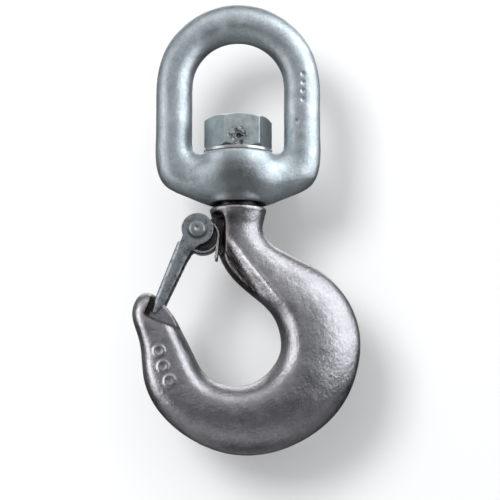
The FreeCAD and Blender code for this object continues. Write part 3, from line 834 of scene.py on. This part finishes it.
def forged_zinc(name, dark, light, worn, roughness, grain, bump_depth, darkening, rubbed_and_highlight=None):
    """Dull galvanised forging: blotched grey, dark scale and specks, paler patches, and painted shade in
    the corners and creases.

    grain is the size of the scale in millimetres. The last two arguments take the tree and give the masks
    of where shade is painted in and where a highlight is painted along a ridge, as on zinc worn bright.
    """
    material, n = new_metal(name)
    fine = n.noise(grain, 6, 0.65)
    colour = n.mix(n.curve(n.noise(grain * 9, 5, 0.6), 0.32, 0.68), dark, light)
    colour = n.mix(n.curve(fine, 0.3, 0.75, 0, 0.5), colour, shade(dark, 0.7))
    specks = n.curve(n.noise(0.8, 3, 0.6), 0.58, 0.68)
    speck_patches = n.curve(n.noise(17, 3, 0.5), 0.50, 0.64)
    colour = n.mix(n.math("MULTIPLY", n.both(specks, speck_patches), 0.75), colour, shade(dark, 0.35))
    colour = n.mix(n.curve(n.noise(6, 5, 0.7), 0.56, 0.72, 0, 0.4), colour, worn)
    # Painted shade: darker where the surface is hollow, as in corners and creases.
    colour = n.mix(n.curve(n.sticking_out(), 0.42, 0.485, 0.9, 0.0), colour, CORNER_SHADE)
    if rubbed_and_highlight:
        # Painted highlight along the hook's ridge, which also stands for zinc worn bright.
        colour = n.mix(rubbed_and_highlight(n), colour, shade(worn, 1.2))
    # Painted shade where shade falls on the bail and the hook.
    colour = n.mix(darkening(n), colour, PAINTED_SHADE)
    n.link(colour, n.shader.inputs["Base Color"])
    n.link(n.curve(n.noise(grain * 4, 5, 0.6), 0.25, 0.75, *roughness), n.shader.inputs["Roughness"])
    pits = n.curve(n.noise(grain * 1.7, 3, 0.5), 0.22, 0.36)
    skin = n.bump(n.noise(grain * 5, 3, 0.5), bump_depth * 2.0)
    skin = n.bump(fine, bump_depth, skin)
    skin = n.bump(pits, bump_depth * 0.3, skin)
    n.link(skin, n.shader.inputs["Normal"])
    return material


def bail_painted_shade(n):
    """Painted shade in the counterbore under the bail, and a half-strength painted shade on the front and
    back of the boss.
    """
    x, y, z = n.axes()
    radius = n.distance(x, y)
    inside = n.below(radius, COUNTERBORE_RADIUS + 0.6, COUNTERBORE_RADIUS + 1.3)
    counterbore = n.both(inside, n.below(z, FLOOR_Z - 8, FLOOR_Z, 0.95))
    sideways = n.math("ABSOLUTE", n.offset(x, 2))
    boss_shade = n.both(n.below(sideways, 5, 18, 0.5), n.below(z, -71, -66))
    return n.either(counterbore, boss_shade)


def seat_painted_shade(n, x, z):
    """Painted shade in the corner of the latch's seat, along the line where the seat ends, and on its
    edges.
    """
    dx, dz = n.offset(x, PIVOT_X), n.offset(z, PIVOT_Z)
    across = n.along(dx, dz, math.cos(LATCH_LEAN), -math.sin(LATCH_LEAN))
    reach = n.distance(dx, dz)
    wall = -LATCH_BACK - SEAT_RELIEF
    end = SEAT_RELIEF_RADIUS
    in_seat = n.below(reach, end - 0.4, end + 0.4)
    corner = n.both(n.between(across, wall + 0.1, wall + 1.7, 1.6, 0.95), in_seat)
    line = n.both(n.between(reach, end - 0.6, end + 0.2, 0.9, 0.8), n.above(across, wall - 0.3, wall + 0.3))
    edges = n.both(n.curve(n.sticking_out(), 0.51, 0.55, 0, 0.7), in_seat)
    near_tip = n.both(n.below(x, -25, -23), n.below(z, -138, -136))
    return n.both(n.either(corner, line, edges), near_tip)


def flute_painted_shade(n, x, z):
    """Painted shade in the flute, in streaks that run along it."""
    _, inward = flute_directions()
    origin = FLUTE_START.dot(inward)
    across = n.offset(n.along(x, z, inward.x, inward.z), origin)
    streaks = n.noise(1.4, 4, 0.55, (1.8, 1, 0.16), (0, STREAK_TURN, 0))
    band = n.both(n.between(across, 1.9, 6.8, 2.6), n.between(z, -138, -113, 5.5))
    return n.both(band, n.curve(streaks, 0.36, 0.6, 0.35, 0.97))


def hook_painted_shade(n):
    """Painted shade in the corner behind the latch's lug, on the neck, the flute, the lug, the seat and the
    shank.
    """
    x, _, z = n.axes()
    corner = n.both(n.below(x, RECESS_X - 1.5, RECESS_X + 2.5, 0.92), n.between(z, -112, -96.5, 6))
    fading = n.both(n.below(x, RECESS_X + 0.5, RECESS_X + 10.5, 0.8), n.between(z, -116, -98.5, 6))
    on_neck = n.above(x, -13.5, -11.5)
    neck = n.both(n.either(corner, fading, flute_painted_shade(n, x, z)), on_neck)
    lug = n.both(n.below(x, -12.5, -11.5, 0.85), n.between(z, -117, -96.5, 2))
    shank_in_bail = n.both(n.above(z, -92.5, -91.2, 0.9), n.below(z, -60, -58))
    return n.either(neck, lug, shank_in_bail, seat_painted_shade(n, x, z))


def hook_ridge_highlight_and_rubbing(n):
    """A painted highlight in patches along the ridge beside the flute, from the neck down to the bowl, as
    on zinc worn bright.
    """
    x, _, z = n.axes()
    across = n.along(x, z, -math.cos(RIDGE_TURN), -math.sin(RIDGE_TURN))
    ridge = n.both(n.between(across, 72.5, 73.9, 1.6), n.between(z, -141, -109, 6))
    patchy = n.curve(n.noise(3, 4, 0.6), 0.3, 0.6, 0.5, 1)
    return n.both(ridge, patchy, n.above(x, -9, -5))


def plated(name, dark, light, worn, roughness, scratch, stretch, darkening=None):
    """Plated or turned steel with fine scratches along one direction.

    scratch is the scratches' size in millimetres, stretch how much finer they are along each axis, and the
    last argument takes the tree and gives the mask of scuffs and painted shade.
    """
    material, n = new_metal(name)
    lines = n.noise(scratch, 4, 0.6, stretch)
    colour = n.mix(n.curve(n.noise(5, 4, 0.6), 0.3, 0.7), dark, light)
    colour = n.mix(n.curve(lines, 0.3, 0.7, 0, 0.35), colour, shade(dark, 0.7))
    colour = n.mix(n.curve(n.sticking_out(), 0.51, 0.6, 0, 0.8), colour, worn)
    # Painted shade: darker where the surface is hollow, as in creases and corners.
    colour = n.mix(n.curve(n.sticking_out(), 0.40, 0.48, 0.85, 0.0), colour, PLATING_CREASE_SHADE)
    if darkening:
        # Scuffs, and painted shade in the nut's pin hole and under the latch bolt's head.
        colour = n.mix(darkening(n), colour, SCUFF_AND_SHADE)
    n.link(colour, n.shader.inputs["Base Color"])
    n.link(n.curve(n.noise(2.5, 5, 0.6), 0.25, 0.75, *roughness), n.shader.inputs["Roughness"])
    skin = n.bump(lines, 0.02)
    skin = n.bump(n.noise(1.2, 4, 0.6), 0.03, skin)
    n.link(skin, n.shader.inputs["Normal"])
    return material


def latch_shadow_and_scuffs(n):
    """A painted shadow round and mostly below the pivot bolt's head, and scuffs all over."""
    x, _, z = n.axes()
    dx, dz = n.offset(x, PIVOT_X), n.offset(z, PIVOT_Z)
    round_bolt = n.between(n.distance(dx, dz), 3, 5.2, 1.2, 0.75)
    shadow_below_bolt = n.both(round_bolt, n.curve(dz, -3 * MM, 1.5 * MM, 1, 0.15))
    scuffs = n.both(n.curve(n.noise(1.8, 4, 0.65), 0.48, 0.62, 0, 0.6), n.curve(n.noise(8), 0.36, 0.52))
    return n.either(shadow_below_bolt, scuffs)


def nut_scuffs_and_hole_shade(n):
    """Scuffs round the staked lock pin, and painted shade in the pin's hole."""
    x, y, z = n.axes()
    along_flat = n.offset(n.along(x, y, math.cos(NUT_TURN), math.sin(NUT_TURN)), LOCK_PIN_OFFSET)
    reach = n.distance(along_flat, n.offset(z, LOCK_PIN_Z))
    scuffs = n.both(n.below(reach, 2.8, 7.5, 0.8), n.curve(n.noise(1.6, 4, 0.65), 0.42, 0.58))
    return n.either(scuffs, n.below(reach, 2.2, 3.0, 0.9))


# The bail's and hook's dark masks are painted shade and the hook's ridge mask a painted highlight; the
# nut's and latch's are scuffs with painted shade.
bail_zinc = forged_zinc(
    "bail_zinc", dark=(0.45, 0.505, 0.535), light=(0.58, 0.64, 0.67), worn=(0.72, 0.77, 0.79),
    roughness=(0.37, 0.5), grain=1.3, bump_depth=0.15, darkening=bail_painted_shade)
hook_zinc = forged_zinc(
    "hook_zinc", dark=(0.34, 0.335, 0.355), light=(0.45, 0.44, 0.465), worn=(0.60, 0.59, 0.61),
    roughness=(0.25, 0.36), grain=1.6, bump_depth=0.22, darkening=hook_painted_shade, rubbed_and_highlight=hook_ridge_highlight_and_rubbing)
nut_zinc = plated(
    "nut_zinc", dark=(0.42, 0.48, 0.49), light=(0.55, 0.60, 0.61), worn=(0.9, 0.91, 0.91),
    roughness=(0.3, 0.45), scratch=0.8, stretch=(1, 1, 4), darkening=nut_scuffs_and_hole_shade)
washer_steel = plated(
    "washer_steel", dark=(0.45, 0.47, 0.47), light=(0.6, 0.62, 0.62), worn=(0.85, 0.85, 0.85),
    roughness=(0.22, 0.35), scratch=0.5, stretch=(1, 1, 9))
latch_zinc = plated(
    "latch_zinc", dark=(0.33, 0.36, 0.39), light=(0.42, 0.46, 0.49), worn=(0.92, 0.93, 0.93),
    roughness=(0.26, 0.42), scratch=0.7, stretch=(1, 5, 1), darkening=latch_shadow_and_scuffs)
pin_steel = plated(
    "pin_steel", dark=(0.30, 0.32, 0.335), light=(0.43, 0.45, 0.465), worn=(0.72, 0.73, 0.74),
    roughness=(0.3, 0.45), scratch=0.5, stretch=(1, 1, 1))
spring_wire = plated(
    "spring_wire", dark=(0.40, 0.41, 0.43), light=(0.55, 0.56, 0.58), worn=(0.85, 0.86, 0.87),
    roughness=(0.22, 0.35), scratch=0.4, stretch=(1, 1, 1))


# ---------------------------------------------------------------- the pieces


def dress(obj, material, node, body=None):
    """Gives a piece its look, hides the CAD node it stands for, and parents it to its body's empty if a
    body is given.
    """
    obj.data.materials.clear()
    obj.data.materials.append(material)
    for polygon in obj.data.polygons:
        polygon.material_index = 0
    if body:
        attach(obj, body)
    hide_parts(node)


dress(make_bail(), bail_zinc, "bail", "bail")
dress(make_hook(), hook_zinc, "hook", "hook")
washer = softened("thrust_washer", "swivel_washer", 0.14, 2)
dress(washer, washer_steel, "thrust_washer", "washer")
dress(make_nut(), nut_zinc, "hook_nut", "hook")
lock_pin = softened("nut_lock_pin", "lock_pin", 0.14, 2)
dress(lock_pin, pin_steel, "nut_lock_pin", "hook")
dress(make_latch(), latch_zinc, "latch", "latch")
bolt = softened("latch_bolt", "pivot_bolt", 0.12, 3)
dress(bolt, pin_steel, "latch_bolt", "hook")
locknut = softened("latch_locknut", "pivot_locknut", 0.12, 2)
dress(locknut, nut_zinc, "latch_locknut", "hook")

# The spring, cut at the middle plane into a front and a back half.
spring = softened("latch_spring", "spring_whole", 0.12, 1)
for side, name in ((-1, "spring_front"), (1, "spring_back")):
    coil = half_of(spring, side, name)
    dress(coil, spring_wire, "latch_spring")
    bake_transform(coil)
bpy.data.objects.remove(spring)


# ---------------------------------------------------------------- stage, light and camera


def one_sided(name, colour):
    """A matt wall that is only there from the front, so that the back of the object can be seen."""
    material = bpy.data.materials.new(name)
    material.use_nodes = True
    tree = material.node_tree
    tree.nodes.clear()
    out = tree.nodes.new("ShaderNodeOutputMaterial")
    mix = tree.nodes.new("ShaderNodeMixShader")
    matt = tree.nodes.new("ShaderNodeBsdfDiffuse")
    matt.inputs["Color"].default_value = (*colour, 1.0)
    clear = tree.nodes.new("ShaderNodeBsdfTransparent")
    geometry = tree.nodes.new("ShaderNodeNewGeometry")
    tree.links.new(geometry.outputs["Backfacing"], mix.inputs[0])
    tree.links.new(matt.outputs[0], mix.inputs[1])
    tree.links.new(clear.outputs[0], mix.inputs[2])
    tree.links.new(mix.outputs[0], out.inputs["Surface"])
    return material


def backdrop_wall():
    """A wall close behind the object that takes its shadow but throws no light back on the metal."""
    y, reach = 0.070, 2
    corners = [(-reach, y, -reach), (reach, y, -reach), (reach, y, reach), (-reach, y, reach)]
    mesh = bpy.data.meshes.new("wall")
    mesh.from_pydata(corners, [], [(0, 1, 2, 3)])
    wall = bpy.data.objects.new("wall", mesh)
    bpy.context.scene.collection.objects.link(wall)
    wall.data.materials.append(one_sided("wall_paper", (0.93, 0.93, 0.93)))
    wall.visible_glossy = False
    wall.visible_diffuse = False
    return wall


def collection(name, *objs):
    """A group that a light can be limited to."""
    group = bpy.data.collections.new(name)
    for obj in objs:
        group.objects.link(obj)
    return group


MIDDLE = Vector((0, 0, -0.11))


def softbox(name, azimuth, elevation, distance, size, radiance, receivers, colour=(1, 1, 1)):
    """A flat light, aimed at the object's middle, that lights some objects only.

    Azimuth 0 is the camera's side and 90 the right of the view. Both angles are in degrees, and distance
    and size, which is width and height, in metres.
    """
    a, e = math.radians(azimuth), math.radians(elevation)
    way = Vector((math.sin(a) * math.cos(e), -math.cos(a) * math.cos(e), math.sin(e)))
    width, height = size
    data = bpy.data.lights.new(name, "AREA")
    data.shape = "RECTANGLE"
    data.size = width
    data.size_y = height
    data.energy = radiance * math.pi * width * height
    data.color = colour
    obj = bpy.data.objects.new(name, data)
    bpy.context.scene.collection.objects.link(obj)
    obj.location = MIDDLE + way * distance
    obj.rotation_euler = (-way).to_track_quat("-Z", "Y").to_euler()
    obj.light_linking.receiver_collection = receivers
    return obj


def light_backdrop(wall):
    """One small strong light for the shadow's edge, and a wide one that fills it to a pale grey."""
    backdrop = collection("backdrop", wall)
    softbox("shadow_box", -20, 13, distance=1.3, size=(0.42, 0.42), radiance=16, receivers=backdrop)
    softbox("fill_box", 0, 8, distance=1.6, size=(2.4, 2.4), radiance=0.96, receivers=backdrop)


def light_pieces(wall):
    """A large light on the right, smaller ones on the left and above, and one behind for the back."""
    pieces = collection("pieces", *[o for o in bpy.data.objects if o.type == "MESH" and o != wall])
    lower = collection("lower", bpy.data.objects["hook_forging"])
    softbox("right_box", 69, 22, distance=0.75, size=(0.95, 1.1), radiance=2.35, receivers=pieces,
            colour=(0.95, 0.975, 1.0))
    softbox("left_box", -71, 3, distance=0.7, size=(0.42, 0.9), radiance=1.3, receivers=pieces)
    softbox("left_hook_box", -72, 3, distance=0.7, size=(0.34, 0.9), radiance=1.6, receivers=lower)
    softbox("top_box", 8, 68, distance=0.6, size=(0.8, 0.40), radiance=0.8, receivers=pieces)
    back_box = softbox("back_box", 180, 38, distance=0.8, size=(0.8, 0.5), radiance=1.6, receivers=pieces)
    back_box.light_linking.blocker_collection = pieces


# How light the studio is at each height, from straight down at -1 to straight up at 1. A height is the
# sine of the elevation.
GREYS = [
    (-1.0, 0.08),
    (-0.92, 0.30),
    (-0.8, 0.7),
    (-0.64, 0.45),
    (-0.42, 0.08),
    (-0.22, 0.10),
    (-0.08, 0.2),
    (0.08, 0.50),
    (0.3, 0.62),
    (1.0, 0.5),
]


def grey_bands(n, height, bands):
    """The studio's grey at a height, a little cooler than neutral."""
    ramp = n.add("ShaderNodeValToRGB")
    ramp.color_ramp.interpolation = "B_SPLINE"
    while len(ramp.color_ramp.elements) < len(bands):
        ramp.color_ramp.elements.new(0.5)
    for element, (place, grey) in zip(ramp.color_ramp.elements, bands):
        element.position = (place + 1) / 2
        element.color = (0.96 * grey, 0.98 * grey, grey, 1)
    n.link(n.math("MULTIPLY", n.math("ADD", height, 1), 0.5), ramp.inputs[0])
    return ramp.outputs["Color"]


def studio_world(bands, back, right):
    """Soft grey surroundings that the camera itself sees as white.

    back and right are the shares of the bands' grey that are left behind the object and on its right.
    """
    world = bpy.data.worlds.new("studio")
    bpy.context.scene.world = world
    world.use_nodes = True
    world.node_tree.nodes.clear()
    n = Nodes(world.node_tree, "Generated")
    x, y, z = n.axes()
    strength = n.math("MULTIPLY", n.curve(y, -0.7, 0.9, 1.0, back), n.curve(x, 0.2, 0.45, 1.0, right))
    soft = n.add("ShaderNodeBackground")
    n.link(grey_bands(n, z, bands), soft.inputs["Color"])
    n.link(strength, soft.inputs["Strength"])
    seen = n.add("ShaderNodeBackground")
    seen.inputs["Color"].default_value = (1, 1, 1, 1)
    mix = n.add("ShaderNodeMixShader")
    n.link(n.add("ShaderNodeLightPath").outputs["Is Camera Ray"], mix.inputs[0])
    n.link(soft.outputs[0], mix.inputs[1])
    n.link(seen.outputs[0], mix.inputs[2])
    n.link(mix.outputs[0], n.add("ShaderNodeOutputWorld").inputs["Surface"])


def add_camera(location, tilt, lens):
    """A camera that looks along +Y, tilt degrees up from straight down."""
    data = bpy.data.cameras.new("camera")
    data.sensor_width = 36
    data.lens = lens
    camera = bpy.data.objects.new("camera", data)
    bpy.context.scene.collection.objects.link(camera)
    camera.location = location
    camera.rotation_euler = (math.radians(tilt), 0, 0)
    return camera


wall = backdrop_wall()
light_backdrop(wall)
light_pieces(wall)
studio_world(GREYS, back=0.4, right=0.7)
bpy.context.scene.camera = add_camera((0.00645, -0.7989, -0.2267), tilt=98, lens=108)
bpy.context.scene.view_settings.view_transform = "Standard"
